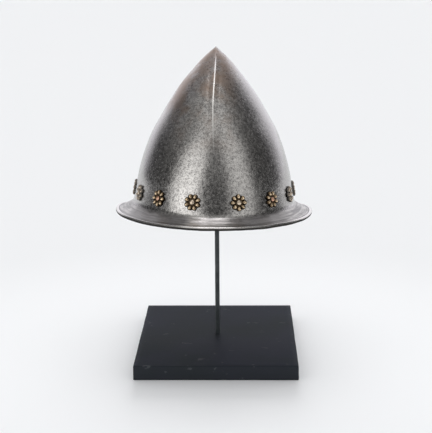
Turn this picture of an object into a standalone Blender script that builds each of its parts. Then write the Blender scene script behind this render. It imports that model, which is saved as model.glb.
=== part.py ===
"""A pointed steel morion with a narrow brim, held on a post in a flat base.

Everything is in metres, +Z up. The origin is the centre of the base's underside, and the helmet's
front faces -Y. The helmet is built upright in its own frame, whose origin is the centre of the rim's
level, and an empty then carries it, seated by its crown on the rounded end of the post.
"""

import math

import bmesh
import bpy
from mathutils import Matrix, Vector

# The base: a plain block with eased edges.
BASE_WIDTH = 0.200
BASE_DEPTH = 0.250
BASE_THICKNESS = 0.018
BASE_EASING = 0.0008

# The post: a round rod let into the base, with a rounded upper end. SOCKET_FLOOR is what the base keeps
# under the rod.
POST_RADIUS = 0.0029
POST_TOP_HEIGHT = 0.3866
SOCKET_FLOOR = 0.006

# The gap between pieces that touch.
SEAT_GAP = 0.0003

# How the helmet sits on the post: its front is raised and turned a little to +X, as its crown leans.
TILT_BACK = math.radians(2.8)
LEAN_SIDE = math.radians(1.0)
TURN_SIDE = math.radians(2.0)

# The skull, from its root in the brim up to the point. ROOT_RISE is the root's height above the rim's
# level, and POINT_SETBACK is how far the point lies behind the root's centre.
SHEET = 0.0015
SKULL_HALF_WIDTH = 0.1013
SKULL_HALF_LENGTH = 0.1235
SKULL_HEIGHT = 0.1930
ROOT_RISE = 0.0095
ROOT_FILLET = 0.0062
POINT_SETBACK = 0.004

# Sections of the skull. height is a share of SKULL_HEIGHT above the root, width and length are shares
# of the half sizes, and pinch draws the section in beside the keel, from 0 for an ellipse.
SECTION_COLUMNS = ("height", "width", "length", "pinch")
SKULL_SECTIONS = (
    (0.00, 1.000, 1.000, 0.00),
    (0.08, 0.971, 0.975, 0.00),
    (0.20, 0.932, 0.938, 0.01),
    (0.33, 0.862, 0.874, 0.03),
    (0.45, 0.776, 0.794, 0.07),
    (0.57, 0.651, 0.680, 0.12),
    (0.68, 0.526, 0.560, 0.16),
    (0.78, 0.392, 0.428, 0.20),
    (0.87, 0.251, 0.282, 0.22),
    (0.94, 0.127, 0.148, 0.22),
    (1.00, 0.000, 0.000, 0.22),
)

# The keel: a low crest on the middle line, front and back, that dies out above the brow. KEEL_START and
# KEEL_FULL are the shares of the height where it begins and where it is full. In front the hammered
# skull bows to one side between the brow and the point, by KEEL_BOW at KEEL_BOW_SHARE of the height, and
# carries the keel with it.
KEEL_RISE = 0.0013
KEEL_HALF_WIDTH = 0.006
KEEL_START = 0.40
KEEL_FULL = 0.60
KEEL_BOW = -0.0040
KEEL_BOW_SHARE = 0.62

# The brim's reach beyond the root, at the sides and at the ends, and the rolled bead that stiffens its
# rim: the sheet goes round a hollow, from its entry on top to its end underneath. The rim dips behind
# the ears, by RIM_DIP where it has gone the share RIM_DIP_PLACE of the way from the sides to the back.
BRIM_SIDE_REACH = 0.0219
BRIM_END_REACH = 0.0220
RIM_DIP = 0.0050
RIM_DIP_PLACE = 0.60
BEAD_HOLLOW = 0.0008
BEAD_ENTRY = math.radians(128)
BEAD_END = math.radians(-150)

# Rosettes: stamped washers with eight petals, round the foot of the skull, just above its fillet. The
# step across the brow is a little wider than the others, which are equal. PETAL_NOTCH is how deep the rim
# is cut in between two petals, and PETAL_SLOPE the width of the petals' outer slope beyond that.
ROSETTE_COUNT = 14
ROSETTE_BROW_STEP = 0.0545
ROSETTE_CLEARANCE = 0.0006
ROSETTE_RADIUS = 0.0100
PETALS = 8
PETAL_NOTCH = 0.0019
PETAL_SLOPE = 0.0009
PETAL_CREST = 0.0024
PETAL_VALLEY = 0.0011
ROSETTE_FLOOR = 0.0010
ROSETTE_EDGE = 0.0005

# Rivets: a domed head in the rosette's eye, a shank through the skull, and a flatter head inside.
# EYE_MARGIN is the flat ring of the rosette that shows round the head.
RIVET_HEAD_RADIUS = 0.0033
RIVET_HEAD_RISE = 0.0019
EYE_MARGIN = 0.0009
RIVET_SHANK_RADIUS = 0.0012
RIVET_INNER_RADIUS = 0.0028
RIVET_INNER_RISE = 0.0010
DRILL_MARGIN = 0.0045

# How finely the round forms are cut into faces. POINT_SHARE is the share of the height that the topmost
# cone takes, and SLOPE_STEP the step, in share or angle, over which a slope of the skull is taken.
SHELL_SIDES = 52
SKULL_RINGS = 12
POINT_SHARE = 0.04
SLOPE_STEP = 0.001
FILLET_STEPS = 3
BRIM_STEPS = 2
BEAD_STEPS = 7
PETAL_SIDES = 3
RIVET_SIDES = 10
RIVET_HEAD_STEPS = 2
POST_SIDES = 24
POST_END_STEPS = 4
RING_SAMPLES = 720
EASING_STEPS = 2

# Sizes that follow from the ones above.
RIM_HALF_WIDTH = SKULL_HALF_WIDTH + BRIM_SIDE_REACH
RIM_HALF_LENGTH = SKULL_HALF_LENGTH + BRIM_END_REACH
BEAD_RADIUS = BEAD_HOLLOW + SHEET
ROSETTE_SHARE = (ROOT_FILLET + ROSETTE_CLEARANCE + ROSETTE_RADIUS) / SKULL_HEIGHT
RIVET_HOLE_RADIUS = RIVET_SHANK_RADIUS + SEAT_GAP


def clear_scene():
    for old in list(bpy.data.objects):
        bpy.data.objects.remove(old)


def new_collection(name):
    collection = bpy.data.collections.new(name)
    bpy.context.scene.collection.children.link(collection)
    return collection


def new_material(name, colour, roughness, metallic):
    material = bpy.data.materials.new(name)
    material.use_nodes = True
    shader = material.node_tree.nodes["Principled BSDF"]
    shader.inputs["Base Color"].default_value = (*colour, 1.0)
    shader.inputs["Roughness"].default_value = roughness
    shader.inputs["Metallic"].default_value = metallic
    return material


def new_object(name, bm, collection, material=None, smooth_under=None):
    """Wraps a finished bmesh in an object, shaded smooth below the given edge angle."""
    mesh = bpy.data.meshes.new(name)
    bm.to_mesh(mesh)
    bm.free()
    if smooth_under is not None:
        mesh.shade_smooth()
        mesh.set_sharp_from_angle(angle=smooth_under)
    if material is not None:
        mesh.materials.append(material)
    obj = bpy.data.objects.new(name, mesh)
    collection.objects.link(obj)
    return obj


def turned_object(name, profile, sides, collection, material=None):
    """A solid of revolution about Z, from a profile at +X listed from its top to its bottom."""
    mesh = bpy.data.meshes.new(name)
    edges = [(i, i + 1) for i in range(len(profile) - 1)]
    mesh.from_pydata([(radius, 0.0, height) for radius, height in profile], edges, [])
    if material is not None:
        mesh.materials.append(material)
    obj = bpy.data.objects.new(name, mesh)
    collection.objects.link(obj)
    screw = obj.modifiers.new("Turn", "SCREW")
    screw.axis = "Z"
    screw.steps = sides
    screw.render_steps = sides
    screw.use_merge_vertices = True
    screw.merge_threshold = 0.00001
    return obj


def subtract(obj, name, cutters):
    """Cuts a collection of cutters out of an object."""
    cut = obj.modifiers.new(name, "BOOLEAN")
    cut.operation = "DIFFERENCE"
    cut.solver = "EXACT"
    cut.operand_type = "COLLECTION"
    cut.collection = cutters


def hide_cutter(obj):
    obj.hide_render = True
    obj.display_type = "WIRE"


def ramp(value, start, full):
    """0 before start, 1 after full, and a smooth rise between them."""
    share = min(max((value - start) / (full - start), 0.0), 1.0)
    return share * share * (3.0 - 2.0 * share)


def section_value(column, share):
    """One column of SKULL_SECTIONS at a height share, on a smooth curve through the rows."""
    rows = SKULL_SECTIONS
    index = SECTION_COLUMNS.index(column)
    last = len(rows) - 1
    k = 0
    while k < last - 1 and share > rows[k + 1][0]:
        k += 1
    span = rows[k + 1][0] - rows[k][0]

    def slope(i):
        before, after = max(i - 1, 0), min(i + 1, last)
        return (rows[after][index] - rows[before][index]) / (rows[after][0] - rows[before][0])

    s = (share - rows[k][0]) / span
    return (
        (2 * s**3 - 3 * s**2 + 1) * rows[k][index]
        + (s**3 - 2 * s**2 + s) * span * slope(k)
        + (3 * s**2 - 2 * s**3) * rows[k + 1][index]
        + (s**3 - s**2) * span * slope(k + 1)
    )


def skull_point(share, angle):
    """A point of the skull's outer face. angle is 0 at the front and a quarter turn at +X."""
    half_width = SKULL_HALF_WIDTH * section_value("width", share)
    half_length = SKULL_HALF_LENGTH * section_value("length", share)
    across = math.sin(angle)
    pinch = max(0.0, section_value("pinch", share))
    x = half_width * across * abs(across) ** pinch
    crest = KEEL_RISE * max(0.0, 1.0 - abs(x) / KEEL_HALF_WIDTH)
    crest *= ramp(share, KEEL_START, KEEL_FULL) * min(1.0, half_length / KEEL_HALF_WIDTH)
    y = -half_length * math.cos(angle) - math.copysign(crest, math.cos(angle))
    bow = KEEL_BOW * ramp(share, 0.0, KEEL_BOW_SHARE) * (1.0 - ramp(share, KEEL_BOW_SHARE, 1.0))
    bow *= max(0.0, math.cos(angle)) ** 2
    return Vector((x + bow, y + POINT_SETBACK * share, ROOT_RISE + SKULL_HEIGHT * share))


def outline_point(half_width, half_length, angle):
    return Vector((half_width * math.sin(angle), -half_length * math.cos(angle), 0.0))


def outline_normal(half_width, half_length, angle):
    return Vector((math.sin(angle) / half_width, -math.cos(angle) / half_length, 0.0)).normalized()


def bead_centre(angle):
    outward = outline_normal(RIM_HALF_WIDTH, RIM_HALF_LENGTH, angle)
    back = -math.cos(angle)
    dip = RIM_DIP * ramp(back, 0.0, RIM_DIP_PLACE) * (1.0 - ramp(back, RIM_DIP_PLACE, 1.0))
    rim = outline_point(RIM_HALF_WIDTH, RIM_HALF_LENGTH, angle)
    return rim - BEAD_RADIUS * outward - dip * Vector((0, 0, 1))


def bead_point(angle, turn):
    """A point of the bead's outer face. turn is 0 at its outermost side and a quarter turn on top."""
    outward = outline_normal(RIM_HALF_WIDTH, RIM_HALF_LENGTH, angle)
    return bead_centre(angle) + BEAD_RADIUS * (math.cos(turn) * outward + math.sin(turn) * Vector((0, 0, 1)))


def shell_path(angle):
    """The outer face at one angle, from just under the point, down the skull, out along the brim and
    round the bead to the rolled edge's end."""
    root = skull_point(0.0, angle)
    bead_start = bead_point(angle, BEAD_ENTRY)
    out = (bead_start - root).normalized()
    fillet_share = ROOT_FILLET / SKULL_HEIGHT
    above = skull_point(fillet_share, angle)
    beyond = root + out * ROOT_FILLET
    span = 1.0 - POINT_SHARE - fillet_share
    shares = [1.0 - POINT_SHARE - span * k / (SKULL_RINGS - 1) for k in range(SKULL_RINGS)]
    path = [skull_point(share, angle) for share in shares]
    for k in range(1, FILLET_STEPS + 1):
        s = k / FILLET_STEPS
        path.append((1 - s) ** 2 * above + 2 * s * (1 - s) * root + s**2 * beyond)
    for k in range(1, BRIM_STEPS + 1):
        path.append(beyond.lerp(bead_start, k / BRIM_STEPS))
    for k in range(1, BEAD_STEPS + 1):
        path.append(bead_point(angle, BEAD_ENTRY + (BEAD_END - BEAD_ENTRY) * k / BEAD_STEPS))
    return path


def loft(bm, rings):
    """Joins closed rings of points, one below the other, with quads that face outwards."""
    rows = [[bm.verts.new(point) for point in ring] for ring in rings]
    sides = len(rows[0])
    for upper, lower in zip(rows, rows[1:]):
        for k in range(sides):
            n = (k + 1) % sides
            bm.faces.new((upper[k], lower[k], lower[n], upper[n]))
    return rows


def build_shell(collection, material, cutters):
    """The forged sheet: one open surface, made solid inwards, and drilled for the rivets."""
    paths = [shell_path(2 * math.pi * k / SHELL_SIDES) for k in range(SHELL_SIDES)]
    bm = bmesh.new()
    rows = loft(bm, list(zip(*paths)))
    point = bm.verts.new(skull_point(1.0, 0.0))
    top = rows[0]
    for k in range(SHELL_SIDES):
        bm.faces.new((point, top[k], top[(k + 1) % SHELL_SIDES]))
    shell = new_object("helmet_shell", bm, collection, material, smooth_under=math.radians(50))
    thicken = shell.modifiers.new("Sheet", "SOLIDIFY")
    thicken.thickness = SHEET
    thicken.offset = -1.0
    thicken.use_even_offset = True
    subtract(shell, "Rivet holes", cutters)
    return shell


def rosette_angles():
    """Angles of the rosettes on the skull's outline at their height: half the brow's step to each side of
    the front, and equal steps round the rest."""
    turns = [2 * math.pi * k / RING_SAMPLES for k in range(RING_SAMPLES + 1)]
    points = [skull_point(ROSETTE_SHARE, turn) for turn in turns]
    lengths = [0.0]
    for a, b in zip(points, points[1:]):
        lengths.append(lengths[-1] + (b - a).length)
    step = (lengths[-1] - ROSETTE_BROW_STEP) / (ROSETTE_COUNT - 1)
    found = []
    for k in range(ROSETTE_COUNT):
        wanted = ROSETTE_BROW_STEP / 2 + step * k
        n = next(i for i, length in enumerate(lengths) if length >= wanted)
        part = (wanted - lengths[n - 1]) / (lengths[n] - lengths[n - 1])
        found.append(turns[n - 1] + part * (turns[n] - turns[n - 1]))
    return found


def seat_matrix(angle):
    """The frame of a rosette: its origin on the skull's outer face, +Z along the face's normal and +Y
    up the skull."""
    here = skull_point(ROSETTE_SHARE, angle)
    along = (skull_point(ROSETTE_SHARE, angle + SLOPE_STEP) - here).normalized()
    up = (skull_point(ROSETTE_SHARE + SLOPE_STEP, angle) - here).normalized()
    outward = along.cross(up).normalized()
    up = outward.cross(along).normalized()
    return Matrix.Translation(here) @ Matrix((along, up, outward)).transposed().to_4x4()


def petal_ring(radius, height, notch=0.0, drop=0.0):
    """A ring of the rosette's surface, that goes in by notch and down by drop between two petals."""
    sides = PETALS * PETAL_SIDES
    ring = []
    for k in range(sides):
        turn = -2 * math.pi * k / sides
        valley = 0.5 - 0.5 * math.cos(PETALS * turn)
        across = radius - notch * valley
        ring.append(Vector((across * math.cos(turn), across * math.sin(turn), height - drop * valley)))
    return ring


def rosette_mesh(name, material):
    """A washer whose rim and face follow the petals, with a flat back and a hole for the rivet."""
    eye_radius = RIVET_HEAD_RADIUS + EYE_MARGIN
    crest_radius = ROSETTE_RADIUS - PETAL_NOTCH - PETAL_SLOPE
    rings = [
        petal_ring(RIVET_HOLE_RADIUS, 0.0),
        petal_ring(RIVET_HOLE_RADIUS, ROSETTE_FLOOR),
        petal_ring(eye_radius, ROSETTE_FLOOR),
        petal_ring(crest_radius, PETAL_CREST, drop=PETAL_CREST - PETAL_VALLEY),
        petal_ring(ROSETTE_RADIUS, ROSETTE_EDGE, notch=PETAL_NOTCH),
        petal_ring(ROSETTE_RADIUS, 0.0, notch=PETAL_NOTCH),
    ]
    bm = bmesh.new()
    loft(bm, rings + rings[:1])
    bmesh.ops.remove_doubles(bm, verts=bm.verts, dist=0.000001)
    bmesh.ops.recalc_face_normals(bm, faces=bm.faces)
    mesh = bpy.data.meshes.new(name)
    bm.to_mesh(mesh)
    bm.free()
    mesh.shade_smooth()
    mesh.set_sharp_from_angle(angle=math.radians(40))
    mesh.materials.append(material)
    return mesh


def dome_profile(radius, rise, height):
    """From a dome's top down to its edge, for a head whose flat side is at the given height."""
    turns = [math.pi / 2 * k / RIVET_HEAD_STEPS for k in range(RIVET_HEAD_STEPS + 1)]
    return [(radius * math.sin(turn), height + rise * math.cos(turn)) for turn in turns]


def rivet_profile():
    """Half of the rivet in its seat's frame: the domed head, the shank, and the head inside."""
    face = SEAT_GAP + ROSETTE_FLOOR + SEAT_GAP
    inside = -SHEET - SEAT_GAP
    head = dome_profile(RIVET_HEAD_RADIUS, RIVET_HEAD_RISE, face)
    inner_head = dome_profile(RIVET_INNER_RADIUS, -RIVET_INNER_RISE, inside)
    shank = [(RIVET_SHANK_RADIUS, face), (RIVET_SHANK_RADIUS, inside)]
    return head + shank + inner_head[::-1]


def build_rosettes(carrier, collection, brass, cutters):
    """The rosettes with their rivets, and a drill for each rivet's hole."""
    petals = rosette_mesh("rosette", brass)
    lift = Matrix.Translation((0, 0, SEAT_GAP))
    half_petal = math.pi / PETALS
    reach = SHEET + DRILL_MARGIN
    drill_profile = [(0.0, reach), (RIVET_HOLE_RADIUS, reach), (RIVET_HOLE_RADIUS, -reach), (0.0, -reach)]
    for number, angle in enumerate(rosette_angles(), start=1):
        seat = seat_matrix(angle)
        rosette = bpy.data.objects.new(f"rosette_{number:02d}", petals)
        collection.objects.link(rosette)
        turn = Matrix.Rotation(half_petal * ((number + 1) % 2), 4, "Z")
        rivet = turned_object(f"rivet_{number:02d}", rivet_profile(), RIVET_SIDES, collection, brass)
        drill = turned_object(f"drill_{number:02d}", drill_profile, RIVET_SIDES, cutters)
        hide_cutter(drill)
        for obj, place in ((rosette, seat @ lift @ turn), (rivet, seat), (drill, seat)):
            obj.parent = carrier
            obj.matrix_local = place


def crown_seat():
    """Where the centre of the post's rounded end lies, in the helmet's frame, and how it is found: the
    ball of the end rests in the cone under the point, touching its steeper sides."""
    ring = skull_point(1.0 - POINT_SHARE, math.pi / 2)
    point = skull_point(1.0, 0.0)
    half_angle = math.atan2(ring.x, point.z - ring.z)
    depth = (POST_RADIUS + SEAT_GAP + SHEET) / math.sin(half_angle)
    return point - Vector((0, 0, depth))


def build_post(collection, material):
    """The rod, from the bottom of its socket to the rounded end under the crown."""
    foot = SOCKET_FLOOR + SEAT_GAP
    shoulder = POST_TOP_HEIGHT - POST_RADIUS
    profile = []
    for k in range(POST_END_STEPS + 1):
        turn = math.pi / 2 * (1 - k / POST_END_STEPS)
        profile.append((POST_RADIUS * math.cos(turn), shoulder + POST_RADIUS * math.sin(turn)))
    profile[0] = (0.0, POST_TOP_HEIGHT)
    profile += [(POST_RADIUS, foot), (0.0, foot)]
    return turned_object("stand_post", profile, POST_SIDES, collection, material)


def build_base(collection, material, cutters):
    """The block, with eased edges and a blind socket for the post."""
    bm = bmesh.new()
    size = Matrix.Diagonal((BASE_WIDTH, BASE_DEPTH, BASE_THICKNESS, 1.0))
    bmesh.ops.create_cube(bm, size=1.0, matrix=Matrix.Translation((0, 0, BASE_THICKNESS / 2)) @ size)
    base = new_object("stand_base", bm, collection, material)
    ease = base.modifiers.new("Eased edges", "BEVEL")
    ease.width = BASE_EASING
    ease.segments = EASING_STEPS
    radius = POST_RADIUS + SEAT_GAP
    above = BASE_THICKNESS + DRILL_MARGIN
    profile = [(0.0, above), (radius, above), (radius, SOCKET_FLOOR), (0.0, SOCKET_FLOOR)]
    drill = turned_object("socket_drill", profile, POST_SIDES, cutters)
    hide_cutter(drill)
    subtract(base, "Post socket", cutters)
    return base


def build_carrier(collection):
    """The empty that carries the helmet, turned about the post's rounded end."""
    carrier = bpy.data.objects.new("helmet_carrier", None)
    collection.objects.link(carrier)
    turn = Matrix.Rotation(LEAN_SIDE, 4, "Y") @ Matrix.Rotation(-TILT_BACK, 4, "X")
    turn = turn @ Matrix.Rotation(TURN_SIDE, 4, "Z")
    end_centre = Vector((0, 0, POST_TOP_HEIGHT - POST_RADIUS))
    carrier.matrix_world = Matrix.Translation(end_centre) @ turn @ Matrix.Translation(-crown_seat())
    return carrier


def main():
    clear_scene()
    parts = new_collection("morion_on_stand")
    rivet_drills = new_collection("rivet_drills")
    socket_drills = new_collection("socket_drills")
    steel = new_material("aged_steel", (0.36, 0.35, 0.34), 0.38, 1.0)
    brass = new_material("old_brass", (0.42, 0.30, 0.16), 0.45, 1.0)
    black_steel = new_material("blackened_steel", (0.025, 0.032, 0.035), 0.45, 0.0)
    black_paint = new_material("black_paint", (0.022, 0.024, 0.028), 0.60, 0.0)
    carrier = build_carrier(parts)
    shell = build_shell(parts, steel, rivet_drills)
    shell.parent = carrier
    build_rosettes(carrier, parts, brass, rivet_drills)
    build_post(parts, black_steel)
    build_base(parts, black_paint, socket_drills)


main()
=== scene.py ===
"""Looks for a pointed steel morion with a narrow brim, held on a post in a flat black base.

Metres, +Z up, the helmet's front towards -Y. The pieces are dressed one after another in the order that
the object is put together: base, post, shell, rosettes, rivets. The studio and the camera come last.
"""

import math

import bmesh
import bpy
from mathutils import Matrix, Vector, noise


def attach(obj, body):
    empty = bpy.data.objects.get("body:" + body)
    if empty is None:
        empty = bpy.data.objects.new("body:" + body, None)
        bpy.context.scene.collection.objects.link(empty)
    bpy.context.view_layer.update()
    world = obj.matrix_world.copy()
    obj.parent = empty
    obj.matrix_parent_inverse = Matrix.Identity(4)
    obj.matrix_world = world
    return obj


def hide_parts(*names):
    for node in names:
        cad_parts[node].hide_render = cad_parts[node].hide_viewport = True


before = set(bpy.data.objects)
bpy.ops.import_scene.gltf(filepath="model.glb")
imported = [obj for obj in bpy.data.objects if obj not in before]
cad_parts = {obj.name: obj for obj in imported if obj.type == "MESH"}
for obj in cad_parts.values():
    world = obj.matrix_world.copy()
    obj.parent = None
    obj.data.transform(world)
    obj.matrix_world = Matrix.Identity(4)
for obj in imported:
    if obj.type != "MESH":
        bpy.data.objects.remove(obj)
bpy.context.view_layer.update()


# The stand's base: a board of fibreboard, sawn square, its edges just broken with sandpaper, then sprayed
# with matt black paint that has a trace of blue. Handling has rubbed its edges and left small scuffs, and
# painted light pales its sides and the back of its top.

BASE_WIDTH = 0.200
BASE_DEPTH = 0.250
BASE_THICKNESS = 0.018
BASE_EASING = 0.0011
BASE_CELL = 0.006
BASE_EDGE_WANDER = 0.00035
BASE_EDGE_WAVE = 0.035

BASE_BLACK = (0.0085, 0.0120, 0.0160)
BASE_BLUE_BLACK = (0.0120, 0.0140, 0.0240)
BASE_SCUFF = (0.060, 0.066, 0.074)
# Dust on the scuffs, and painted light on the sides and the back of the top.
BASE_DUST_AND_PAINTED_LIGHT = (0.106, 0.112, 0.118)

# Where the painted light starts and where it is full, along Y on the top and along Z at the sides.
PAINTED_LIGHT_ON_TOP = (-0.115, 0.010)
PAINTED_LIGHT_ON_SIDES = (0.0176, 0.0168)
PAINTED_LIGHT_SHARE = 0.092
SCUFF_DUST_SHARE = 0.08


def add_node(tree, kind, inputs=None, **settings):
    """Adds a node, with a value or another node's output on each of the inputs given."""
    node = tree.nodes.new(kind)
    for name, value in settings.items():
        setattr(node, name, value)
    for socket, value in (inputs or {}).items():
        if isinstance(value, bpy.types.NodeSocket):
            tree.links.new(value, node.inputs[socket])
        else:
            node.inputs[socket].default_value = value
    return node


def maths(tree, operation, *values, clamp=False):
    node = add_node(tree, "ShaderNodeMath", dict(enumerate(values)), operation=operation, use_clamp=clamp)
    return node.outputs[0]


def times(tree, *values):
    """The product of the values."""
    product = values[0]
    for value in values[1:]:
        product = maths(tree, "MULTIPLY", product, value)
    return product


def weighed(tree, *pairs):
    """The sum of values, each of them times its own weight."""
    total = times(tree, *pairs[0])
    for pair in pairs[1:]:
        total = maths(tree, "ADD", total, times(tree, *pair))
    return total


def smooth_step(tree, value, start, full, low=0.0, high=1.0):
    """low before start, high after full, and a smooth change between them."""
    inputs = {0: value, 1: start, 2: full, 3: low, 4: high}
    node = add_node(tree, "ShaderNodeMapRange", inputs, interpolation_type="SMOOTHSTEP")
    return node.outputs[0]


def mix_colours(tree, share, first, second, blend="MIX"):
    """The first colour at share 0 and the second, blended on it, at share 1."""
    inputs = {0: share}
    for socket, colour in ((6, first), (7, second)):
        inputs[socket] = (*colour, 1.0) if isinstance(colour, tuple) else colour
    node = add_node(tree, "ShaderNodeMix", inputs, data_type="RGBA", blend_type=blend)
    return node.outputs[2]


def new_group(name, inputs, outputs):
    """An empty shader group. inputs and outputs are pairs of a socket's name and its kind."""
    group = bpy.data.node_groups.new(name, "ShaderNodeTree")
    for side, sockets in (("INPUT", inputs), ("OUTPUT", outputs)):
        for label, kind in sockets:
            group.interface.new_socket(name=label, in_out=side, socket_type="NodeSocket" + kind)
    return group, group.nodes.new("NodeGroupInput").outputs, group.nodes.new("NodeGroupOutput").inputs


def use_group(tree, group, **inputs):
    """Places a group in a material. A socket's name is given with its spaces as underscores."""
    node = tree.nodes.new("ShaderNodeGroup")
    node.node_tree = group
    for label, value in inputs.items():
        socket = node.inputs[label.replace("_", " ")]
        if isinstance(value, bpy.types.NodeSocket):
            tree.links.new(value, socket)
        else:
            socket.default_value = value
    return node.outputs


def new_material(name, metallic=0.0, specular=0.5):
    """A material with its Principled shader."""
    material = bpy.data.materials.new(name)
    material.use_nodes = True
    tree = material.node_tree
    shader = tree.nodes["Principled BSDF"]
    shader.inputs["Metallic"].default_value = metallic
    shader.inputs["Specular IOR Level"].default_value = specular
    return material, tree, shader


def object_place(tree):
    """The object's own coordinates."""
    return tree.nodes.new("ShaderNodeTexCoord").outputs["Object"]


def mesh_layer(tree, name, output="Fac"):
    """What the mesh's vertices carry in a layer."""
    return add_node(tree, "ShaderNodeAttribute", attribute_name=name).outputs[output]


def connect(tree, output, socket):
    tree.links.new(output, socket)


def add_bump(tree, shader, height, strength, distance):
    """Gives the surface a fine relief."""
    bump = add_node(tree, "ShaderNodeBump", {"Height": height, "Strength": strength, "Distance": distance})
    connect(tree, bump.outputs["Normal"], shader.inputs["Normal"])


# Grain: an even, fine mottle of a given size, as from casting, rusting or spraying.
grain, taken, given = new_group(
    "Grain", (("Place", "Vector"), ("Size", "Float"), ("Contrast", "Float")), (("Grain", "Float"),)
)
scale = maths(grain, "DIVIDE", 1.0, taken["Size"])
mottle = add_node(
    grain, "ShaderNodeTexNoise", {"Vector": taken["Place"], "Scale": scale, "Detail": 2.5, "Roughness": 0.62}
)
swing = maths(grain, "MULTIPLY", maths(grain, "SUBTRACT", mottle.outputs["Fac"], 0.5), taken["Contrast"])
connect(grain, maths(grain, "ADD", swing, 0.5, clamp=True), given["Grain"])

# Blotches: a mask of wandering patches, over the given share of the surface, with soft edges.
blotches, taken, given = new_group(
    "Blotches",
    (("Place", "Vector"), ("Size", "Float"), ("Cover", "Float"), ("Softness", "Float")),
    (("Mask", "Float"),),
)
scale = maths(blotches, "DIVIDE", 1.0, taken["Size"])
clouds = {"Vector": taken["Place"], "Scale": scale, "Detail": 5.0, "Roughness": 0.58}
cloud = add_node(blotches, "ShaderNodeTexNoise", clouds)
edge = maths(blotches, "SUBTRACT", 1.0, taken["Cover"])
start = maths(blotches, "SUBTRACT", edge, taken["Softness"])
full = maths(blotches, "ADD", edge, taken["Softness"])
connect(blotches, smooth_step(blotches, cloud.outputs["Fac"], start, full), given["Mask"])

black_paint, tree, shader = new_material("matt black paint", specular=0.07)
place = object_place(tree)
parts = add_node(tree, "ShaderNodeSeparateXYZ", {0: place}).outputs
spray = use_group(tree, grain, Place=place, Size=0.0016, Contrast=1.4)["Grain"]
cloudy = use_group(tree, blotches, Place=place, Size=0.11, Cover=0.50, Softness=0.14)["Mask"]
scuffs = use_group(tree, blotches, Place=place, Size=0.012, Cover=0.33, Softness=0.03)["Mask"]
# Painted light: the back of the top and the sides are made paler.
painted_light_top = smooth_step(tree, parts["Y"], *PAINTED_LIGHT_ON_TOP)
painted_light_mask = maths(tree, "MAXIMUM", painted_light_top, smooth_step(tree, parts["Z"], *PAINTED_LIGHT_ON_SIDES))
dust_and_painted_light = weighed(tree, (scuffs, SCUFF_DUST_SHARE), (painted_light_mask, PAINTED_LIGHT_SHARE))
wear = times(tree, mesh_layer(tree, "rubbed_and_painted_highlight"), maths(tree, "MULTIPLY_ADD", scuffs, 0.75, 0.25))
colour = mix_colours(tree, cloudy, BASE_BLACK, BASE_BLUE_BLACK)
colour = mix_colours(tree, dust_and_painted_light, colour, BASE_DUST_AND_PAINTED_LIGHT)
colour = mix_colours(tree, wear, colour, BASE_SCUFF)
connect(tree, colour, shader.inputs["Base Color"])
connect(tree, smooth_step(tree, scuffs, 0.0, 1.0, low=0.66, high=0.52), shader.inputs["Roughness"])
add_bump(tree, shader, spray, strength=0.25, distance=0.0002)


# Edges sharper than this stay crisp when a piece is shaded.
SHARP_ANGLE = math.radians(50)


def new_piece(name, bm, material, replaced, placed=Matrix.Identity(4)):
    """Puts a finished bmesh in its place, as an object that stands for a CAD node and rides on the body."""
    bm.transform(placed)
    mesh = bpy.data.meshes.new(name)
    bm.to_mesh(mesh)
    bm.free()
    mesh.shade_smooth()
    mesh.set_sharp_from_angle(angle=SHARP_ANGLE)
    mesh.materials.append(material)
    obj = bpy.data.objects.new(name, mesh)
    bpy.context.scene.collection.objects.link(obj)
    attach(obj, "root")
    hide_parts(replaced)
    return obj


def inward(along, half):
    """The way back from an edge of the base along one axis, or 0 away from the edge."""
    return -math.copysign(1.0, along) if half - abs(along) < BASE_EASING else 0.0


half_size = Vector((BASE_WIDTH, BASE_DEPTH, BASE_THICKNESS)) / 2
bm = bmesh.new()
bmesh.ops.create_cube(bm, size=2.0, matrix=Matrix.Diagonal((*half_size, 1.0)))
bmesh.ops.bevel(
    bm, geom=bm.edges[:], offset=BASE_EASING, segments=3, profile=0.5, affect="EDGES", clamp_overlap=True
)
for axis, half in ((Vector((1, 0, 0)), half_size.x), (Vector((0, 1, 0)), half_size.y)):
    cuts = round((half - BASE_EASING) / BASE_CELL)
    for k in range(-cuts + 1, cuts):
        bmesh.ops.bisect_plane(bm, geom=bm.verts[:] + bm.edges[:] + bm.faces[:],
                               plane_co=axis * (half - BASE_EASING) * k / cuts, plane_no=axis)
rub = bm.verts.layers.float.new("rubbed_and_painted_highlight")
for vert in bm.verts:
    inset = sorted(half - abs(along) for half, along in zip(half_size, vert.co))
    vert[rub] = 1.0 if inset[1] < 2 * BASE_EASING else 0.0
    if inset[0] < BASE_EASING and vert.co.z > -half_size.z + BASE_EASING:
        wander = noise.noise(vert.co / BASE_EDGE_WAVE)
        direction = Vector((inward(vert.co.x, half_size.x), inward(vert.co.y, half_size.y), 0.0))
        vert.co += direction * BASE_EDGE_WANDER * (0.5 + wander)
bmesh.ops.translate(bm, verts=bm.verts, vec=(0, 0, half_size.z))
new_piece("display_base", bm, black_paint, "stand_base")


# The post: a mild steel rod with a rounded upper end, chemically blackened to a dark grey-green and waxed.
# It stands in a blind hole in the base and carries the helmet by the inside of its crown.

POST_RADIUS = 0.0029
POST_TOP_HEIGHT = 0.3866
POST_FOOT_HEIGHT = 0.0063
POST_SIDES = 40
POST_RUN_STEPS = 24
POST_END_STEPS = 6

ROD_BLACK = (0.033, 0.040, 0.044)
ROD_WORN = (0.070, 0.079, 0.082)

# The lines left by drawing the rod: grain that is finer round it than along it, by this share.
DRAWN_SHARE = 0.04

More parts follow.
